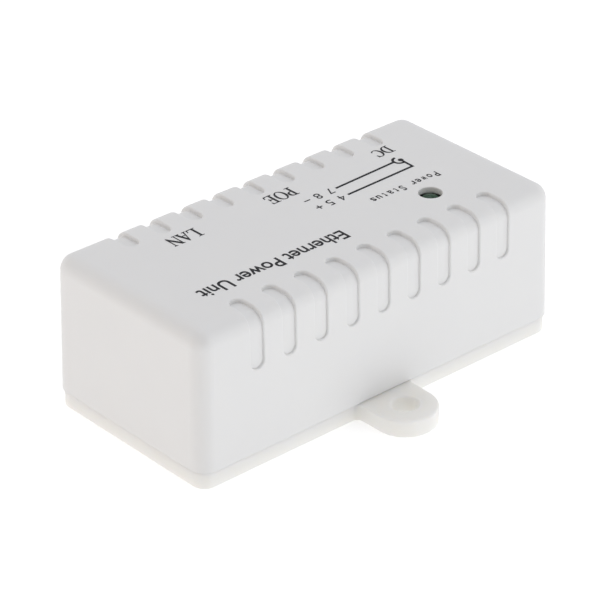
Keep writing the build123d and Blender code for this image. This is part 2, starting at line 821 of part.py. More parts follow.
# ---- surface-mounted chips, in a row at each end of the transformer ----
def chip_row(x, y, height):
    half = chip_width / 2
    pieces = []
    for number in range(chip_count):
        chip_x = x + (number - (chip_count - 1) / 2) * chip_pitch
        pieces.append(
            block(
                (chip_x - half, chip_x + half),
                (y - chip_length / 2, y + chip_length / 2),
                (board_top, board_top + height),
            )
        )
    return group(pieces)


chip_row_y = magnetics_y
chip_row_spread = magnetics_length / 2 + chip_gap + chip_pitch * (chip_count - 1) / 2
resistor_row_x = magnetics_x - chip_row_spread
capacitor_row_x = magnetics_x + chip_row_spread


# ---- circuit board ----
def circuit_board():
    middle = (board_front + board_rear) / 2
    outline = RectangleRounded(2 * board_half_length, board_rear - board_front, board_corner)
    board = Pos(0, middle, board_bottom) * extrude(outline, board_thickness)
    through = (board_bottom - past, board_top + past)
    for side_x, side_y in corners:
        hole = screw_radius + screw_clearance
        board -= rod(side_x * boss_x, side_y * boss_y, hole, through)
    wire_hole = math.hypot(wire_width, wire_thickness) / 2 + hole_clearance / 2
    for jack_x in (lan_x, poe_x):
        for side in (-1, 1):
            x = jack_x + side * peg_spread
            board -= rod(x, port_y - peg_setback, peg_radius + hole_clearance / 2, through)
        for index, x in enumerate(wire_xs):
            board -= rod(jack_x + x, port_y - leg_rows[index % 2], wire_hole, through)
    gap = hole_clearance
    half = leaf_width / 2 + gap
    for y in (-dc_depth - sheet_thickness / 2, leaf_root_y - leaf_gap - sheet_thickness / 2):
        y_span = (port_y + y - sheet_thickness / 2 - gap, port_y + y + sheet_thickness / 2 + gap)
        board -= block((dc_x - half, dc_x + half), y_span, through)
    side = dc_x + dc_width / 2
    switch_span = (port_y + switch_y[0], port_y + switch_y[1])
    board -= block((side - sheet_thickness - gap, side + gap), switch_span, through)
    round_lead = lead_radius + hole_clearance
    for x in capacitor_lead_xs:
        board -= rod(x, capacitor_y, round_lead, through)
    for x in fuse_lead_xs:
        board -= rod(x, fuse_y, round_lead, through)
    for x in diode_lead_xs:
        board -= rod(x, diode_y, round_lead, through)
    led_hole = led_lead * math.sqrt(2) / 2 + hole_clearance / 2
    for side in (-1, 1):
        board -= rod(led_x + side * led_pitch / 2, led_y, led_hole, through)
    return board


# ---- build ----
save("cover_shell", cover_shell())
save("base_plate", base_plate())
save("case_screws", case_screws())
save("circuit_board", circuit_board())

housing = jack_housing()
insert = jack_insert()
roots = group([wire_root(index) for index in range(wire_count)])
springs = group([wire_spring(index) for index in range(wire_count)])
for port, x in (("lan", lan_x), ("poe", poe_x)):
    save(f"{port}_jack_housing", place_jack(x) * housing)
    save(f"{port}_jack_insert", place_jack(x) * insert)
    save(f"{port}_contact_roots", place_jack(x) * roots)
    save(f"{port}_contact_springs", place_jack(x) * springs)

save("dc_jack_housing", place_dc() * dc_housing())
save("dc_center_pin", place_dc() * dc_pin())
save("dc_sleeve_spring", place_dc() * dc_leaf())
save("dc_sleeve_terminal", place_dc() * dc_sleeve_terminal())
save("dc_switch_terminal", place_dc() * dc_switch_terminal())

save("led_lens", led_lens())
save("led_leads", led_leads())
save("capacitor_can", capacitor_can())
save("capacitor_sleeve", capacitor_sleeve_tube())
save("capacitor_seal", capacitor_seal())
save("capacitor_leads", capacitor_leads())
save("fuse_disc", fuse_disc())
save("fuse_leads", fuse_leads())
save("diode_body", diode_body())
save("diode_leads", diode_leads())
save("surge_diode_body", surge_body())
save("surge_diode_tabs", surge_tabs())
save("magnetics_body", magnetics_body())
save("magnetics_leads", magnetics_leads())
save("chip_resistors", chip_row(resistor_row_x, chip_row_y, chip_height))
save("chip_capacitors", chip_row(capacitor_row_x, chip_row_y, chip_width))
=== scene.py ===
import json
import math

import bmesh
import bpy
from mathutils import Matrix, Vector


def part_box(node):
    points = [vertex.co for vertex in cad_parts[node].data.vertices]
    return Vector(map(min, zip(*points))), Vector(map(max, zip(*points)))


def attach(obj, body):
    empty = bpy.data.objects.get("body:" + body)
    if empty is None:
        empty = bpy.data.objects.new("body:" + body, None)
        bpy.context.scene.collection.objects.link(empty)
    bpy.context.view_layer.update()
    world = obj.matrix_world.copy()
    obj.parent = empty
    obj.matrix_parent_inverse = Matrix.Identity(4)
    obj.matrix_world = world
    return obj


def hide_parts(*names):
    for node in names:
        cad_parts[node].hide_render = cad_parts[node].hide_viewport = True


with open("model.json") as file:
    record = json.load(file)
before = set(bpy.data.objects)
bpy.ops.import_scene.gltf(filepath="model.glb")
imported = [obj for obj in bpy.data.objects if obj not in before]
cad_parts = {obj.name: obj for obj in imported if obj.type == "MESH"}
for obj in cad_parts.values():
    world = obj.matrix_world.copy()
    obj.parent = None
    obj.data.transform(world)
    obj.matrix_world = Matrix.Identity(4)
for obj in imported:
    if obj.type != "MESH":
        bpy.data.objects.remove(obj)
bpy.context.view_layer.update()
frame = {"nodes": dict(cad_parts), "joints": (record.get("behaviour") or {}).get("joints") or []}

nodes = frame["nodes"]


# ---- Camera -------------------------------------------------------------------------------
# The injector is seen from its plain side and its left end, from a little above, through a
# long lens, so that its edges stay almost parallel.
MM = 0.001
roof_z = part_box("cover_shell")[1].z

camera_azimuth = math.radians(-41.31)
camera_elevation = math.radians(29.63)
camera_roll = math.radians(-0.33)
camera_distance = 570.2 * MM
camera_shift_right = -1.49 * MM
camera_shift_up = -1.42 * MM

back = Vector((
    math.sin(camera_azimuth) * math.cos(camera_elevation),
    -math.cos(camera_azimuth) * math.cos(camera_elevation),
    math.sin(camera_elevation),
))
level_right = Vector((math.cos(camera_azimuth), math.sin(camera_azimuth), 0))
level_up = back.cross(level_right)
right = level_right * math.cos(camera_roll) + level_up * math.sin(camera_roll)
up = level_up * math.cos(camera_roll) - level_right * math.sin(camera_roll)
place = Vector((0, 0, roof_z / 2)) + back * camera_distance
place += right * camera_shift_right + up * camera_shift_up

lens = bpy.data.cameras.new("camera")
lens.sensor_width = 36
lens.lens = 186.8
lens.clip_start = 0.01
lens.clip_end = 20
camera = bpy.data.objects.new("camera", lens)
camera.matrix_world = Matrix((
    (right.x, up.x, back.x, place.x),
    (right.y, up.y, back.y, place.y),
    (right.z, up.z, back.z, place.z),
    (0, 0, 0, 1),
))
bpy.context.scene.collection.objects.link(camera)
bpy.context.scene.camera = camera
bpy.context.scene.view_settings.view_transform = "Standard"


# ---- Table and light ----------------------------------------------------------------------
# A plain white table under two tall soft panels, one at the left end and one in front of the
# plain side, with weaker light from above, as in a small white photo tent.
def linear(code):
    """sRGB hex colour as linear red, green, blue and alpha."""
    channels = [int(code[i:i + 2], 16) / 255 for i in (1, 3, 5)]
    return [c / 12.92 if c <= 0.04045 else ((c + 0.055) / 1.055) ** 2.4 for c in channels] + [1.0]


def add(tree, kind, inputs=None, **settings):
    """Add a node with its settings; each input is a value or another node's output."""
    node = tree.nodes.new(kind)
    for name, value in settings.items():
        setattr(node, name, value)
    for name, value in (inputs or {}).items():
        socket = node.inputs[name]
        if isinstance(value, bpy.types.NodeSocket):
            tree.links.new(value, socket)
        else:
            socket.default_value = value
    return node


def new_material(name):
    """A material with an empty node tree, and that tree."""
    material = bpy.data.materials.new(name)
    material.use_nodes = True
    material.node_tree.nodes.clear()
    return material, material.node_tree


def finish_material(tree, shader):
    """Join the finished surface to the material's output."""
    add(tree, "ShaderNodeOutputMaterial", {"Surface": shader})


# Matt white acrylic sheet: an even pale ground that gives back most of the light.
table_material, tree = new_material("acrylic_matt_white")
table_shader = add(tree, "ShaderNodeBsdfPrincipled", {
    "Base Color": linear("#F0F0F0"),
    "Roughness": 0.9,
    "Specular IOR Level": 0.1,
    "Emission Color": linear("#FFFFFF"),
    "Emission Strength": 0.42,
})
finish_material(tree, table_shader.outputs["BSDF"])

table_half = 3.0
table_z = -0.02 * MM
table_mesh = bpy.data.meshes.new("table")
table_mesh.from_pydata(
    [(-table_half, -table_half, table_z), (table_half, -table_half, table_z),
     (table_half, table_half, table_z), (-table_half, table_half, table_z)],
    [], [(0, 1, 2, 3)],
)
table_mesh.materials.append(table_material)
table = bpy.data.objects.new("table", table_mesh)
bpy.context.scene.collection.objects.link(table)

# The tent's walls are a little brighter than its top, and its front stands open where the
# camera looks in, so edges that face that way come out darker than the walls beside them.
world = bpy.data.worlds.new("tent")
bpy.context.scene.world = world
world.use_nodes = True
tree = world.node_tree
tree.nodes.clear()
direction = add(tree, "ShaderNodeTexCoord").outputs["Generated"]
split = add(tree, "ShaderNodeSeparateXYZ", {"Vector": direction})
walls = add(tree, "ShaderNodeMapRange", {
    "Value": split.outputs["Z"], "From Min": 0.0, "From Max": 1.0, "To Min": 0.76, "To Max": 0.62,
})
open_front = Vector((-0.66, -0.75, 0.1)).normalized()
facing = add(tree, "ShaderNodeVectorMath", {0: direction, 1: open_front}, operation="DOT_PRODUCT")
opening = add(tree, "ShaderNodeMapRange", {
    "Value": facing.outputs["Value"], "From Min": 0.38, "From Max": 0.9,
    "To Min": 1.0, "To Max": 0.48,
}, interpolation_type="SMOOTHSTEP")
strength = add(tree, "ShaderNodeMath", {
    0: walls.outputs["Result"], 1: opening.outputs["Result"],
}, operation="MULTIPLY")
tent = add(tree, "ShaderNodeBackground", {
    "Color": linear("#FFFFFF"), "Strength": strength.outputs["Value"],
})
add(tree, "ShaderNodeOutputWorld", {"Surface": tent.outputs["Background"]})


def soft_panel(name, towards, distance, size, power, tint="#FFFFFF"):
    """A square soft light that faces the middle of the case."""
    light = bpy.data.lights.new(name, "AREA")
    light.shape = "SQUARE"
    light.size = size
    light.energy = power
    light.color = linear(tint)[:3]
    panel = bpy.data.objects.new(name, light)
    aim = Vector((0, 0, roof_z / 2))
    away = Vector(towards).normalized()
    panel.location = aim + away * distance
    panel.rotation_euler = away.to_track_quat("Z", "Y").to_euler()
    bpy.context.scene.collection.objects.link(panel)
    return panel


soft_panel("left_panel", (-1.0, 0.25, 0.30), 0.9, 0.7, 0.92, "#FFE0C4")
soft_panel("front_panel", (0.55, -1.0, 0.35), 0.9, 0.7, 1.65, "#FAFBFF")
soft_panel("top_panel", (0.1, 0.3, 1.0), 1.0, 0.8, 1.8, "#EFF2FF")


# ---- Case mouldings -----------------------------------------------------------------------
# The cover and the base are injection moulded in white ABS. The base carries the two fixing
# lugs, and four screws from below clamp it and the board to posts inside the cover.
def white_abs(name, seed, dark, light, soak, soak_mm):
    """White ABS moulded against a finely spark-eroded tool: an even satin face with a faint
    grain, slight flow clouds between two close tones, and light that soaks into thin edges."""
    material, tree = new_material(name)
    place = add(tree, "ShaderNodeTexCoord").outputs["Object"]
    shifted = add(tree, "ShaderNodeMapping", {"Vector": place, "Location": (seed, seed, 0)})
    # The eroded grain is about 0.1 mm and is drawn three times coarser so that it shows.
    grain = add(tree, "ShaderNodeTexNoise", {
        "Vector": shifted.outputs["Vector"], "Scale": 1 / (0.3 * MM), "Detail": 3.0,
        "Roughness": 0.55,
    })
    # Flow clouds are about 12 mm across.
    clouds = add(tree, "ShaderNodeTexNoise", {
        "Vector": shifted.outputs["Vector"], "Scale": 1 / (12 * MM), "Detail": 2.0,
    })
    tone = add(tree, "ShaderNodeMix", {
        "Factor": clouds.outputs["Fac"], "A": linear(dark), "B": linear(light),
    }, data_type="RGBA")
    gloss = add(tree, "ShaderNodeMapRange", {
        "Value": grain.outputs["Fac"], "From Min": 0.3, "From Max": 0.7,
        "To Min": 0.38, "To Max": 0.48,
    })
    relief = add(tree, "ShaderNodeBump", {
        "Height": grain.outputs["Fac"], "Strength": 0.25, "Distance": 0.02 * MM,
    })
    shader = add(tree, "ShaderNodeBsdfPrincipled", {
        "Base Color": tone.outputs["Result"],
        "Roughness": gloss.outputs["Result"],
        "Normal": relief.outputs["Normal"],
        "IOR": 1.53,
        "Subsurface Weight": soak,
        "Subsurface Radius": (1.0, 0.95, 0.85),
        "Subsurface Scale": soak_mm * MM,
    })
    finish_material(tree, shader.outputs["BSDF"])
    return material


def dress(material, *names):
    """Give CAD pieces their real finish."""
    for name in names:
        mesh = nodes[name].data
        mesh.materials.clear()
        mesh.materials.append(material)


dress(white_abs("abs_white_spark_eroded_cover", 0.0, "#E6E6E6", "#E9E9E8", 0.12, 1.2),
      "cover_shell")
# The base's tone is painted lighter and warmer than the cover's, as painted light for the glow its
# lugs take from the bright table below; its thin lugs also let more light through.
dress(white_abs("abs_white_spark_eroded_base_painted_lighter", 0.37, "#ECEBE8", "#F0EFEC", 0.8, 3.0),
      "base_plate")


# ---- Print on the roof --------------------------------------------------------------------
# One pass of black pad printing, upside down to the plain side, so that it reads from the
# ports: a label for each port and the lamp, and the pin plan of the power wires.
INK_THICKNESS = 0.02 * MM
INK_GAP = 0.002 * MM
INK_SPREAD = 0.03 * MM

# Pad-printed ink: a thin satin black film that spreads a little at the edges of fine strokes
# and is a little uneven where the pad lifted.
ink_black, tree = new_material("ink_black_pad_printed")
place = add(tree, "ShaderNodeTexCoord").outputs["Object"]
# The film's cover varies over about half a millimetre.
film = add(tree, "ShaderNodeTexNoise", {"Vector": place, "Scale": 1 / (0.5 * MM), "Detail": 2.0})
film_tone = add(tree, "ShaderNodeMix", {
    "Factor": film.outputs["Fac"], "A": linear("#0F0F13"), "B": linear("#202026"),
}, data_type="RGBA")
film_gloss = add(tree, "ShaderNodeMapRange", {
    "Value": film.outputs["Fac"], "To Min": 0.5, "To Max": 0.65,
})
ink_shader = add(tree, "ShaderNodeBsdfPrincipled", {
    "Base Color": film_tone.outputs["Result"],
    "Roughness": film_gloss.outputs["Result"],
    "IOR": 1.5,
    "Specular IOR Level": 0.3,
})
finish_material(tree, ink_shader.outputs["BSDF"])


def new_piece(name, mesh, material, body, smooth=False):
    """A finished piece that rides on a body."""
    piece = bpy.data.objects.new(name, mesh)
    mesh.materials.clear()
    mesh.materials.append(material)
    for face in mesh.polygons:
        face.use_smooth = smooth
    if smooth:
        mesh.set_sharp_from_angle(angle=math.radians(35))
    bpy.context.scene.collection.objects.link(piece)
    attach(piece, body)
    return piece


def ink_piece(name, curve, place):
    """Turn a filled curve into a film of ink that lies on the roof."""
    curve.dimensions = "2D"
    curve.fill_mode = "BOTH"
    curve.extrude = INK_THICKNESS / 2
    source = bpy.data.objects.new(name + "_outline", curve)
    mesh = bpy.data.meshes.new_from_object(source)
    bpy.data.objects.remove(source)
    mesh.transform(place)
    mesh.transform(Matrix.Translation((0, 0, roof_z + INK_GAP + INK_THICKNESS / 2)))
    return new_piece(name, mesh, ink_black, "injector")


def upside_down(x_mm, y_mm, turn=0.0):
    """Place of a label whose middle is at these millimetres from the case's centre."""
    return Matrix.Translation((x_mm * MM, y_mm * MM, 0)) @ Matrix.Rotation(math.pi + turn, 4, "Z")


# The serif letters are drawn in hundredths of their height: closed outlines, with rings as
# (middle x, middle y, radius x, radius y, start angle, end angle) stretches.
SERIF_LETTERS = {
    "L": (66, [[(0, 0), (58, 0), (62, 27), (58, 27), (51, 5), (25, 5), (25, 96), (37, 96),
                (37, 100), (0, 100), (0, 96), (12, 96), (12, 4), (0, 4)]]),
    "A": (74, [[(0, 0), (24, 0), (24, 4), (15, 4), (20, 32), (46, 32), (55, 4), (46, 4),
                (46, 0), (76, 0), (76, 4), (70, 4), (40, 100), (35, 100), (7, 4), (0, 4)],
               [(22, 37), (44, 37), (33, 75)]]),
    "N": (78, [[(0, 0), (22, 0), (22, 4), (14, 4), (14, 82), (62, -2), (67, -2), (67, 96),
                (75, 96), (75, 100), (53, 100), (53, 96), (61, 96), (61, 30), (22, 100),
                (0, 100), (0, 96), (8, 94), (8, 4), (0, 4)]]),
    "P": (62, [[(0, 0), (37, 0), (37, 4), (25, 4), (25, 46), (32, 46),
                (32, 73, 28, 27, -90, 90), (0, 100), (0, 96), (12, 96), (12, 4), (0, 4)],
               [(25, 51), (30, 51), (30, 73, 16, 22, -90, 90), (25, 95)]]),
    "O": (78, [[(37, 50, 37, 51, 0, 360)], [(37, 50, 24, 46, 0, 360)]]),
    "E": (66, [[(0, 0), (58, 0), (63, 25), (59, 25), (51, 5), (25, 5), (25, 49), (39, 49),
                (45, 38), (49, 38), (49, 64), (45, 64), (39, 54), (25, 54), (25, 95), (49, 95),
                (55, 80), (59, 80), (58, 100), (0, 100), (0, 96), (12, 96), (12, 4), (0, 4)]]),
    "D": (80, [[(0, 0), (32, 0), (32, 50, 42, 50, -90, 90), (0, 100), (0, 96), (12, 96),
                (12, 4), (0, 4)],
               [(25, 5), (30, 5), (30, 50, 29, 45, -90, 90), (25, 95)]]),
    "C": (70, [[(38, 50, 38, 51, 44, 318), (40, 50, 26, 46, 318, 50), (62, 70), (66, 70),
                (66, 100), (62, 100), (60, 92)]]),
}
ARC_STEP = math.radians(15)


def outline_points(outline):
    """Corner points of an outline, with each ring stretch worked out."""
    points = []
    for step in outline:
        if len(step) == 2:
            points.append(Vector(step))
            continue
        x, y, radius_x, radius_y, start, end = step
        sweep = math.radians(end - start)
        count = max(2, round(abs(sweep) / ARC_STEP))
        full_turn = abs(end - start) == 360
        for number in range(count if full_turn else count + 1):
            angle = math.radians(start) + sweep * number / count
            points.append(Vector((x + radius_x * math.cos(angle), y + radius_y * math.sin(angle))))
    return points


def add_outline(curve, points, cyclic=True):
    """Add a straight-sided stretch to a curve."""
    spline = curve.splines.new("POLY")
    spline.points.add(len(points) - 1)
    for control, point in zip(spline.points, points):
        control.co = (*point, 0, 1) if len(point) == 2 else (*point, 1)
    spline.use_cyclic_u = cyclic
    return spline


def serif_label(name, word, height_mm, x_mm, y_mm, turn):
    """A word in thick and thin strokes, centred on a place."""
    scale = height_mm * MM / 100
    curve = bpy.data.curves.new(name, "CURVE")
    curve.offset = INK_SPREAD
    total = sum(SERIF_LETTERS[letter][0] for letter in word)
    start = -total / 2
    for letter in word:
        width, outlines = SERIF_LETTERS[letter]
        for order, outline in enumerate(outlines):
            shift = Vector((start, -50))
            points = [(point + shift) * scale for point in outline_points(outline)]
            # Holes run the other way round, so that the ink's spread narrows them.
            add_outline(curve, points if order == 0 else points[::-1])
        start += width
    return ink_piece(name, curve, upside_down(x_mm, y_mm, turn))


def sans_label(name, word, cap_mm, x_mm, y_mm, width_mm, weight=0.0, turn=0.0):
    """A word in plain even strokes, stretched to its printed width and capital height."""
    curve = bpy.data.curves.new(name, "FONT")
    curve.body = "H"
    source = bpy.data.objects.new(name + "_size", curve)
    bpy.context.scene.collection.objects.link(source)
    bpy.context.view_layer.update()
    cap = source.dimensions.y
    curve.body = word
    curve.offset = weight
    bpy.context.view_layer.update()
    low = min(corner[0] for corner in source.bound_box)
    high = max(corner[0] for corner in source.bound_box)
    bpy.data.objects.remove(source)
    stretch = Matrix.Diagonal((width_mm * MM / (high - low), cap_mm * MM / cap, 1, 1))
    middle = Matrix.Translation((-(low + high) / 2, -cap / 2, 0))
    flat = Matrix.Diagonal((1, 1, 0, 1))
    curve.extrude = 0
    place = upside_down(x_mm, y_mm, turn) @ stretch @ middle @ flat
    source = bpy.data.objects.new(name + "_outline", curve)
    mesh = bpy.data.meshes.new_from_object(source)
    bpy.data.objects.remove(source)
    mesh.transform(place)
    return thicken_ink(name, mesh)


def thicken_ink(name, mesh):
    """Raise a flat printed shape into a film that lies on the roof."""
    shape = bmesh.new()
    shape.from_mesh(mesh)
    bmesh.ops.remove_doubles(shape, verts=shape.verts, dist=1e-7)
    for vert in shape.verts:
        vert.co.z = roof_z + INK_GAP
    top = bmesh.ops.extrude_face_region(shape, geom=shape.faces[:])
    for item in top["geom"]:
        if isinstance(item, bmesh.types.BMVert):
            item.co.z += INK_THICKNESS
    bmesh.ops.recalc_face_normals(shape, faces=shape.faces)
    shape.to_mesh(mesh)
    shape.free()
    return new_piece(name, mesh, ink_black, "injector")


def middle_x(node):
    """Middle of a CAD piece along the case, in millimetres."""
    low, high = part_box(node)
    return (low.x + high.x) / 2 / MM


print_turn = math.radians(0.9)
lan_middle = middle_x("lan_jack_housing")
poe_middle = middle_x("poe_jack_housing")
dc_middle = middle_x("dc_jack_housing")
lamp_middle = middle_x("led_lens")

serif_label("print_lan", "LAN", 3.2, lan_middle, 9.2, print_turn)
serif_label("print_poe", "POE", 3.2, poe_middle, 9.65, print_turn)
serif_label("print_dc", "DC", 2.8, dc_middle - 0.3, 10.3, print_turn)
sans_label("print_title", "Ethernet Power Unit", 3.1, -15.85, -8.95, 33.7, weight=0.014)

# The lamp's label is set letter by letter at an even pitch, as on a typewriter.
lamp_words = "Power Status"
lamp_pitch = 1.41
lamp_label_start = lamp_middle + 5.9
lamp_label_y = -3.05
for number, letter in enumerate(lamp_words):
    if letter != " ":
        x = lamp_label_start - number * lamp_pitch
        width = 0.55 if letter == "t" else 0.95
        sans_label(f"print_lamp_{number}", letter, 1.85, x, lamp_label_y, width, weight=0.012)

# Pin plan: data pairs 7 and 8 carry minus, 4 and 5 carry plus, and both lead to the symbol of
# a barrel plug.
pin_columns = (9.8, 6.9)
minus_row = 4.95
plus_row = 1.6
digit_height = 2.0
digit_width = 1.3
for pins, row in (("78", minus_row), ("45", plus_row)):
    for pin, column in zip(pins, pin_columns):
        sans_label(f"print_pin_{pin}", pin, digit_height, column, row, digit_width)

LINE_WIDTH = 0.52 * MM


def stroke(curve, start_mm, end_mm, width=LINE_WIDTH):
    """One straight printed line with square ends, between two places on the roof."""
    start = Vector(start_mm) * MM
    end = Vector(end_mm) * MM
    side = (end - start).normalized().orthogonal() * width / 2
    add_outline(curve, [start + side, end + side, end - side, start - side])


def line_piece(name, *lines, width=LINE_WIDTH):
    """Printed lines that are inked as one piece."""
    curve = bpy.data.curves.new(name, "CURVE")
    for start, end in lines:
        stroke(curve, start, end, width)
    return ink_piece(name, curve, Matrix.Identity(4))


sign_half = 0.7
sign_width = 0.28 * MM
sign_x = 4.25
line_piece("print_minus", ((sign_x - sign_half, minus_row), (sign_x + sign_half, minus_row)),
           width=sign_width)
line_piece("print_plus_bar", ((sign_x - sign_half, plus_row), (sign_x + sign_half, plus_row)),
           width=sign_width)
for name, side in (("print_plus_upper", -1), ("print_plus_lower", 1)):
    near = plus_row + side * sign_width / 2 / MM
    line_piece(name, ((sign_x, near), (sign_x, plus_row + side * sign_half)), width=sign_width)

# The plug symbol is an open ring, for the outer contact, round a dot for the core.
symbol = (27.74, 5.6)
dot_middle = (28.1, 5.5)
dot_radius = 0.55
ring_radius = 1.2
half_line = LINE_WIDTH / 2 / MM
minus_end = (symbol[0] - ring_radius - half_line, symbol[1] + 0.05)
corner = (28.0, 2.16)
lines_start = 11.4
line_piece("print_minus_line", ((lines_start, 5.1), minus_end))
line_piece("print_plus_line", ((lines_start, 1.75), (corner[0] + half_line, corner[1])))
riser_top = (dot_middle[0], dot_middle[1] - dot_radius * 0.9)
line_piece("print_plus_riser", ((corner[0], corner[1] + half_line), riser_top))

ring = bpy.data.curves.new("print_socket_ring", "CURVE")
ring_outline = [
    (*symbol, ring_radius + half_line, ring_radius + half_line, 85, 290),
    (*symbol, ring_radius - half_line, ring_radius - half_line, 290, 85),
]
add_outline(ring, [point * MM for point in outline_points(ring_outline)])
ink_piece("print_socket_ring", ring, Matrix.Identity(4))
dot = bpy.data.curves.new("print_socket_dot", "CURVE")
dot_outline = outline_points([(*dot_middle, dot_radius, dot_radius, 0, 360)])
add_outline(dot, [point * MM for point in dot_outline])
ink_piece("print_socket_dot", dot, Matrix.Identity(4))


# ---- Indicator lamp -----------------------------------------------------------------------
# A 5 mm lamp stands on its two leads with its dome up in the roof's hole. It is cast in green
# tinted epoxy round the leads' upper ends, one of which is pressed into a cup for the chip.
def turned(profile_mm, x_mm, y_mm, steps=64):
    """A shape turned about an upright line, from (radius, height) points."""
    shape = bmesh.new()
    rim = [shape.verts.new((radius * MM, 0, z * MM)) for radius, z in profile_mm]
    edges = [shape.edges.new(pair) for pair in zip(rim, rim[1:])]
    bmesh.ops.spin(shape, geom=rim + edges, cent=(0, 0, 0), axis=(0, 0, 1),
                   angle=2 * math.pi, steps=steps)
    bmesh.ops.remove_doubles(shape, verts=shape.verts, dist=1e-7)
    bmesh.ops.recalc_face_normals(shape, faces=shape.faces)
    bmesh.ops.translate(shape, verts=shape.verts, vec=(x_mm * MM, y_mm * MM, 0))
    mesh = bpy.data.meshes.new("turned")
    shape.to_mesh(mesh)
    shape.free()
    return mesh


# Tinted epoxy cast in a polished mould: deep green, clear enough to see light inside, with
# faint swirls of dye and a glossy skin.
epoxy_green, tree = new_material("epoxy_green_cast")
place = add(tree, "ShaderNodeTexCoord").outputs["Object"]
# The dye swirls are about 1.5 mm across.
swirl = add(tree, "ShaderNodeTexNoise", {"Vector": place, "Scale": 1 / (1.5 * MM), "Detail": 2.0})
dye = add(tree, "ShaderNodeMix", {
    "Factor": swirl.outputs["Fac"], "A": linear("#0A4A2A"), "B": linear("#11603A"),
}, data_type="RGBA")
skin = add(tree, "ShaderNodeMapRange", {
    "Value": swirl.outputs["Fac"], "To Min": 0.05, "To Max": 0.12,
})
lens_shader = add(tree, "ShaderNodeBsdfPrincipled", {
    "Base Color": dye.outputs["Result"], "Roughness": skin.outputs["Result"],
    "IOR": 1.54, "Specular IOR Level": 0.15, "Transmission Weight": 0.55,
})
finish_material(tree, lens_shader.outputs["BSDF"])

lamp_low, lamp_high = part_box("led_lens")
lamp_x = (lamp_low.x + lamp_high.x) / 2 / MM
lamp_y = (lamp_low.y + lamp_high.y) / 2 / MM
lamp_foot = lamp_low.z / MM
lamp_top = lamp_high.z / MM
flange_radius = (lamp_high.x - lamp_low.x) / 2 / MM
dome_radius = flange_radius - 0.45
dome_middle = lamp_top - dome_radius
flange_top = lamp_foot + 1.0
foot_bevel = 0.1
rim_bevel = 0.12
lens_profile = [(0, lamp_foot), (flange_radius - foot_bevel, lamp_foot),
                (flange_radius, lamp_foot + foot_bevel), (flange_radius, flange_top - rim_bevel),
                (flange_radius - rim_bevel, flange_top), (dome_radius + foot_bevel, flange_top),
                (dome_radius, flange_top + foot_bevel)]
dome_steps = 16
for number in range(dome_steps + 1):
    angle = math.pi / 2 * number / dome_steps
    lens_profile.append((
        dome_radius * math.cos(angle), dome_middle + dome_radius * math.sin(angle),
    ))
lens_mesh = turned(lens_profile, lamp_x, lamp_y)
# The flange has a flat on the cathode's side, just clear of the dome.
flat_x = (lamp_x - dome_radius - 0.08) * MM
for vert in lens_mesh.vertices:
    vert.co.x = max(vert.co.x, flat_x)
lens_piece = new_piece("lamp_lens", lens_mesh, epoxy_green, "injector", smooth=True)
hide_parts("led_lens")


def grained(name, dark, light, grain_mm, gloss, relief_mm, sockets, stretch=(1, 1, 1)):
    """A finish whose tone, gloss and relief all follow one grain; sockets are set as given."""
    material, tree = new_material(name)
    place = add(tree, "ShaderNodeTexCoord").outputs["Object"]
    drawn = add(tree, "ShaderNodeMapping", {"Vector": place, "Scale": stretch})
    grain = add(tree, "ShaderNodeTexNoise", {
        "Vector": drawn.outputs["Vector"], "Scale": 1 / (grain_mm * MM), "Detail": 4.0,
        "Roughness": 0.6,
    })
    tone = add(tree, "ShaderNodeMix", {
        "Factor": grain.outputs["Fac"], "A": linear(dark), "B": linear(light),
    }, data_type="RGBA")
    shine = add(tree, "ShaderNodeMapRange", {
        "Value": grain.outputs["Fac"], "From Min": 0.3, "From Max": 0.7,
        "To Min": gloss[0], "To Max": gloss[1],
    })
    relief = add(tree, "ShaderNodeBump", {
        "Height": grain.outputs["Fac"], "Strength": 0.4, "Distance": relief_mm * MM,
    })
    shader = add(tree, "ShaderNodeBsdfPrincipled", {
        "Base Color": tone.outputs["Result"], "Roughness": shine.outputs["Result"],
        "Normal": relief.outputs["Normal"], **sockets,
    })
    finish_material(tree, shader.outputs["BSDF"])
    return material


# Tinned iron lead frame: pale grey and soft-bright, with drawing lines along the leads.
tinned_iron = grained("iron_tinned_drawn", "#BDBDBA", "#D2D2CE", 0.12, (0.24, 0.36), 0.004,
                      {"Metallic": 1.0}, stretch=(1, 1, 0.1))
dress(tinned_iron, "led_leads")

# The cup and the post stand side by side on stems that start just inside the lens.
cup_z = dome_middle - 1.6
stem = 0.25
stem_foot = lamp_foot + 0.2
stem_spread = 0.9
cup_mesh = turned(
    [(0, stem_foot), (stem, stem_foot), (stem, cup_z - 0.9), (0.62, cup_z - 0.35),
     (0.62, cup_z), (0.5, cup_z), (0.28, cup_z - 0.28), (0, cup_z - 0.28)],
    lamp_x - stem_spread, lamp_y, steps=24,
)
new_piece("lamp_chip_cup", cup_mesh, tinned_iron, "injector", smooth=True)
post_mesh = turned(
    [(0, stem_foot), (stem, stem_foot), (stem, cup_z - 0.4), (0.4, cup_z - 0.2),
     (0.4, cup_z - 0.05), (0, cup_z - 0.05)],
    lamp_x + stem_spread, lamp_y, steps=24,
)
new_piece("lamp_bond_post", post_mesh, tinned_iron, "injector", smooth=True)


# ---- 8P8C jacks ---------------------------------------------------------------------------
# Each jack is a black moulded housing with a contact insert pushed in from behind. Eight round
# spring wires run forward in the insert, turn back at its tongue and slope down to the comb.

# Glass-filled PBT from a polished mould: nearly black, an even soft gloss, with the faint
# grey streaks that glass fibre leaves.
dress(grained("pbt_black_glass_filled_moulded", "#101012", "#1C1C1F", 0.35, (0.33, 0.46), 0.008,
              {"IOR": 1.56}, stretch=(0.4, 1, 1)),
      "lan_jack_housing", "poe_jack_housing")
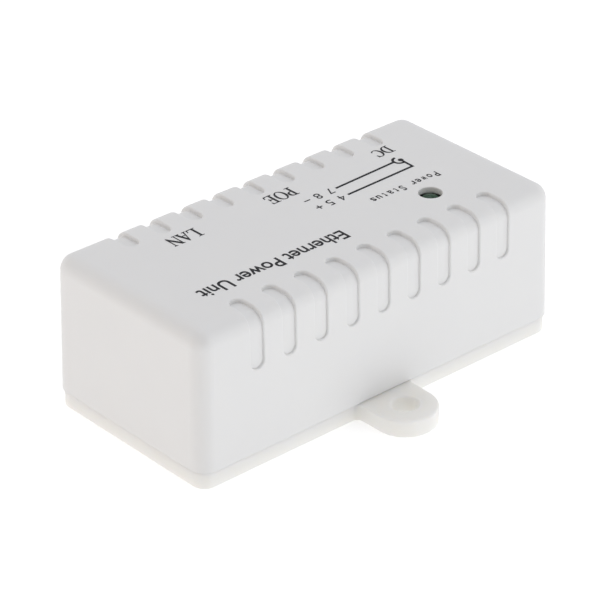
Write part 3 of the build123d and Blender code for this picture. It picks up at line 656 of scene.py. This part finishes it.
# Plain nylon, moulded on a duller tool: a shade browner and flatter than the housing.
dress(grained("nylon_black_moulded", "#141312", "#1E1D1B", 0.25, (0.48, 0.6), 0.01, {"IOR": 1.53}),
      "lan_jack_insert", "poe_jack_insert")

# Phosphor bronze wire with a thin gold plate: warm yellow, bright, with fine draw lines.
gold_wire = grained("bronze_wire_gold_plated", "#F2CB80", "#FBE0A6", 0.1, (0.42, 0.54), 0.002,
                    {"Metallic": 1.0}, stretch=(1, 0.15, 0.15))

WIRE_COUNT = 8
WIRE_PITCH = 1.016
WIRE_RADIUS = 0.2
RUN_RISE = 1.22  # the wires' level runs above their hinges
SPRING_LENGTH = 11.0
SPRING_SLOPE = math.radians(22)
LEG_ROWS = (15.0, 17.54)  # the two rows of legs behind the jack's face
BEND_RADIUS = 0.7
TAIL_LENGTH = 0.4  # straight end of a leg below the board
HOOK_DEPTH = 0.95  # from the hinge back to where the hook leaves the level run
NOSE_ANGLES = (15, 40, 65)  # steps round the cut and tumbled wire ends


def arc(middle, radius, start, end, steps=8):
    """Points round a bend, in the wire's own plane."""
    angles = [math.radians(start + (end - start) * n / steps) for n in range(steps + 1)]
    return [(middle[0] + radius * math.cos(a), middle[1] + radius * math.sin(a)) for a in angles]


def hairpin(hinge_y, steps=14):
    """The turn at the tongue's front end, from the level run round to the hinge."""
    hold = [Vector((hinge_y - HOOK_DEPTH, RUN_RISE)), Vector((hinge_y + 0.2, RUN_RISE)),
            Vector((hinge_y + 0.5, 0.2)), Vector((hinge_y, 0))]
    points = []
    for number in range(steps + 1):
        t = number / steps
        weights = ((1 - t) ** 3, 3 * t * (1 - t) ** 2, 3 * t * t * (1 - t), t ** 3)
        points.append(tuple(sum((w * h for w, h in zip(weights, hold)), Vector((0, 0)))))
    return points


def round_wires(name, jack_x, paths, body):
    """Round wires side by side across a jack, each with rounded ends."""
    curve = bpy.data.curves.new(name, "CURVE")
    curve.dimensions = "3D"
    curve.bevel_depth = WIRE_RADIUS * MM
    curve.bevel_resolution = 3
    curve.use_fill_caps = True
    for number, path in enumerate(paths):
        x = jack_x + (number - (WIRE_COUNT - 1) / 2) * WIRE_PITCH
        points = [Vector((x, y, z)) * MM for y, z in path]
        along = [(points[1] - points[0]).normalized(), (points[-2] - points[-1]).normalized()]
        nose = [(WIRE_RADIUS * MM * (1 - math.cos(math.radians(angle))),
                 math.sin(math.radians(angle))) for angle in NOSE_ANGLES]
        head = [points[0] + along[0] * reach for reach, _ in nose]
        tail = [points[-1] + along[1] * reach for reach, _ in reversed(nose)]
        spline = add_outline(curve, head + points[1:-1] + tail, cyclic=False)
        for order, (_, thin) in enumerate(nose):
            spline.points[order].radius = thin
            spline.points[-1 - order].radius = thin
    source = bpy.data.objects.new(name + "_line", curve)
    mesh = bpy.data.meshes.new_from_object(source)
    bpy.data.objects.remove(source)
    return new_piece(name, mesh, gold_wire, body, smooth=True)


hinges = {joint["child"]: joint["pos_m"] for joint in frame["joints"]}
for port in ("lan", "poe"):
    face_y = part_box(port + "_jack_housing")[1].y / MM
    tail_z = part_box(port + "_contact_roots")[0].z / MM
    _, hinge_y, hinge_z = [value / MM for value in hinges[port + "_springs"]]
    run_z = hinge_z + RUN_RISE
    roots = []
    for number in range(WIRE_COUNT):
        leg_y = face_y - LEG_ROWS[number % 2]
        bend = arc((leg_y + BEND_RADIUS, run_z - BEND_RADIUS), BEND_RADIUS, 180, 90)
        turn = [(y, hinge_z + z) for y, z in hairpin(hinge_y)]
        # The hook's last stretch runs past the hinge, so that the two halves read as one wire.
        past_hinge = (hinge_y - WIRE_RADIUS * math.cos(SPRING_SLOPE),
                      hinge_z - WIRE_RADIUS * math.sin(SPRING_SLOPE))
        roots.append([(leg_y, tail_z), (leg_y, tail_z + TAIL_LENGTH), *bend, *turn, past_hinge])
    start = (hinge_y + WIRE_RADIUS * math.cos(SPRING_SLOPE),
             hinge_z + WIRE_RADIUS * math.sin(SPRING_SLOPE))
    run = [(hinge_y - SPRING_LENGTH * t * math.cos(SPRING_SLOPE),
            hinge_z - SPRING_LENGTH * t * math.sin(SPRING_SLOPE)) for t in (0, 0.5, 1)]
    root_piece = round_wires(port + "_wire_roots", middle_x(port + "_jack_housing"), roots,
                             "injector")
    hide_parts(port + "_contact_roots")
    spring_piece = round_wires(port + "_wire_springs", middle_x(port + "_jack_housing"),
                               [[start, *run]] * WIRE_COUNT, port + "_springs")
    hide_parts(port + "_contact_springs")


# ---- DC jack ------------------------------------------------------------------------------
# A square-backed PBT body with a round bore holds the centre pin, the sprung sleeve contact
# that presses on the plug from below, and a switch contact beside it.
dress(grained("pbt_black_moulded", "#131314", "#1D1D1F", 0.25, (0.38, 0.5), 0.008, {"IOR": 1.56}),
      "dc_jack_housing")
# Nickel plate on turned brass: warm grey, mirror bright, with rings from turning.
dress(grained("brass_turned_nickel_plated", "#C6C1B7", "#DAD6CD", 0.15, (0.14, 0.24), 0.002,
              {"Metallic": 1.0}, stretch=(0.15, 1, 0.15)),
      "dc_center_pin")
# Nickel plate on rolled bronze strip: the same grey with fine lines along the strip.
dress(grained("bronze_strip_nickel_plated", "#BFBAB0", "#D3CEC4", 0.12, (0.22, 0.34), 0.003,
              {"Metallic": 1.0}, stretch=(1, 0.1, 1)),
      "dc_sleeve_spring")
# Tinned bronze strip, soldered through the board: duller and greyer.
dress(grained("bronze_strip_tinned", "#B4B4B1", "#C9C9C5", 0.12, (0.3, 0.42), 0.004,
              {"Metallic": 1.0}, stretch=(1, 1, 0.1)),
      "dc_sleeve_terminal", "dc_switch_terminal")


# ---- Case screws --------------------------------------------------------------------------
# Four self-tapping screws of zinc-plated steel, cold headed, sit in recesses under the base.

# Bright zinc with a clear chromate: pale blue-grey, a little cloudy, softly shiny.
dress(grained("steel_cold_headed_zinc_plated", "#A9B0B6", "#C3C7C6", 0.6, (0.26, 0.4), 0.006,
              {"Metallic": 1.0}),
      "case_screws")


# ---- Circuit board ------------------------------------------------------------------------
# One glass fibre board carries everything. It lies on the base's four posts, and the screws
# pass through its corners.
def marked(name, dark, light, grain_mm, gloss, limits, mark, mark_gloss, mark_metal, sockets):
    """A grained finish with a second colour where every limit on the coordinates holds."""
    material, tree = new_material(name)
    place = add(tree, "ShaderNodeTexCoord").outputs["Object"]
    split = add(tree, "ShaderNodeSeparateXYZ", {"Vector": place})
    area = 1.0
    # A limit is an axis, a place on it, a reach, and which side of that reach is marked.
    for axis, middle_mm, reach_mm, side in limits:
        offset = add(tree, "ShaderNodeMath", {0: split.outputs[axis], 1: middle_mm * MM},
                     operation="SUBTRACT")
        away = add(tree, "ShaderNodeMath", {0: offset.outputs["Value"]}, operation="ABSOLUTE")
        hit = add(tree, "ShaderNodeMath", {0: away.outputs["Value"], 1: reach_mm * MM},
                  operation=side)
        area = add(tree, "ShaderNodeMath", {0: area, 1: hit.outputs["Value"]},
                   operation="MULTIPLY").outputs["Value"]
    grain = add(tree, "ShaderNodeTexNoise", {
        "Vector": place, "Scale": 1 / (grain_mm * MM), "Detail": 4.0,
    })
    tone = add(tree, "ShaderNodeMix", {
        "Factor": grain.outputs["Fac"], "A": linear(dark), "B": linear(light),
    }, data_type="RGBA")
    colour = add(tree, "ShaderNodeMix", {
        "Factor": area, "A": tone.outputs["Result"], "B": linear(mark),
    }, data_type="RGBA")
    shine = add(tree, "ShaderNodeMapRange", {
        "Value": grain.outputs["Fac"], "To Min": gloss[0], "To Max": gloss[1],
    })
    shine = add(tree, "ShaderNodeMix", {
        "Factor": area, "A": shine.outputs["Result"], "B": mark_gloss,
    })
    relief = add(tree, "ShaderNodeBump", {
        "Height": grain.outputs["Fac"], "Strength": 0.3, "Distance": 0.005 * MM,
    })
    metal = add(tree, "ShaderNodeMath", {0: area, 1: mark_metal}, operation="MULTIPLY")
    shader = add(tree, "ShaderNodeBsdfPrincipled", {
        "Base Color": colour.outputs["Result"], "Roughness": shine.outputs["Result"],
        "Normal": relief.outputs["Normal"], "Metallic": metal.outputs["Value"], **sockets,
    })
    finish_material(tree, shader.outputs["BSDF"])
    return material


def middle_of(node, axis):
    """Middle of a CAD piece on one axis, in millimetres."""
    low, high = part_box(node)
    return (low[axis] + high[axis]) / 2 / MM


# Epoxy glass laminate under green solder mask: glossy and faintly woven, with straw-coloured
# sawn edges.
dress(marked("glass_epoxy_solder_masked", "#0C4A22", "#14602F", 0.5, (0.16, 0.28),
             [("Z", middle_of("circuit_board", 2), 0.78, "LESS_THAN")],
             "#B8AE7A", 0.75, 0.0, {"IOR": 1.52}),
      "circuit_board")


# ---- Parts on the board -------------------------------------------------------------------
# The network transformer stands behind the two jacks, with a row of chips at each end. The
# smoothing capacitor, fuse, diode and surge diode sit round the DC jack.

# Drawn aluminium: pale silver with rings round the can.
dress(grained("aluminium_drawn", "#C4C6C8", "#D8DADB", 0.3, (0.26, 0.38), 0.004,
              {"Metallic": 1.0}, stretch=(0.1, 0.1, 1)),
      "capacitor_can")
# Shrunk PET sleeve: glossy blue-black film with a pale stripe on the minus side.
dress(marked("pet_sleeve_shrunk", "#0B0E26", "#141938", 0.6, (0.18, 0.3),
             [("X", middle_of("capacitor_sleeve", 0), 1.3, "LESS_THAN"),
              ("Y", middle_of("capacitor_sleeve", 1) - 4.1, 2.0, "LESS_THAN")],
             "#C6CBD6", 0.3, 0.0, {"IOR": 1.57}),
      "capacitor_sleeve")
# Butyl rubber bung: matt black with a dusty bloom.
dress(grained("butyl_rubber_moulded", "#131313", "#232322", 0.3, (0.7, 0.85), 0.02, {"IOR": 1.5}),
      "capacitor_seal")
# Dipped epoxy powder: yellow, soft and slightly orange-peeled.
dress(grained("epoxy_yellow_dipped", "#C48A17", "#D69D24", 0.7, (0.3, 0.45), 0.04, {"IOR": 1.5}),
      "fuse_disc")
# Moulded epoxy packages: dark grey and matt, with a mineral sparkle from the filler.
epoxy_package = grained("epoxy_black_filled_moulded", "#161617", "#262628", 0.15, (0.55, 0.7),
                        0.015, {"IOR": 1.55})
dress(epoxy_package, "surge_diode_body", "magnetics_body")
# The diode is the same epoxy with a printed silver band at its cathode end.
dress(marked("epoxy_black_banded", "#161617", "#262628", 0.15, (0.5, 0.65),
             [("X", middle_of("diode_body", 0) - 1.75, 0.4, "LESS_THAN")],
             "#B9BABA", 0.45, 0.0, {"IOR": 1.55}),
      "diode_body")
# Tinned copper wire and legs: bright and smooth.
dress(grained("copper_wire_tinned", "#C2C2BF", "#D4D4D0", 0.1, (0.2, 0.32), 0.003,
              {"Metallic": 1.0}),
      "capacitor_leads", "fuse_leads", "diode_leads", "surge_diode_tabs", "magnetics_leads")
# Film resistors: black glazed tops between tinned ends.
chip_end = 0.68
dress(marked("alumina_resistor_glazed", "#0E0E10", "#1A1A1D", 0.2, (0.2, 0.3),
             [("Y", middle_of("chip_resistors", 1), chip_end, "GREATER_THAN")],
             "#C4C4C0", 0.35, 1.0, {"IOR": 1.6}),
      "chip_resistors")
# Ceramic capacitors: fired tan bodies between tinned ends.
dress(marked("titanate_ceramic_fired", "#7E6242", "#977750", 0.2, (0.4, 0.5),
             [("Y", middle_of("chip_capacitors", 1), chip_end, "GREATER_THAN")],
             "#C4C4C0", 0.35, 1.0, {"IOR": 1.7}),
      "chip_capacitors")
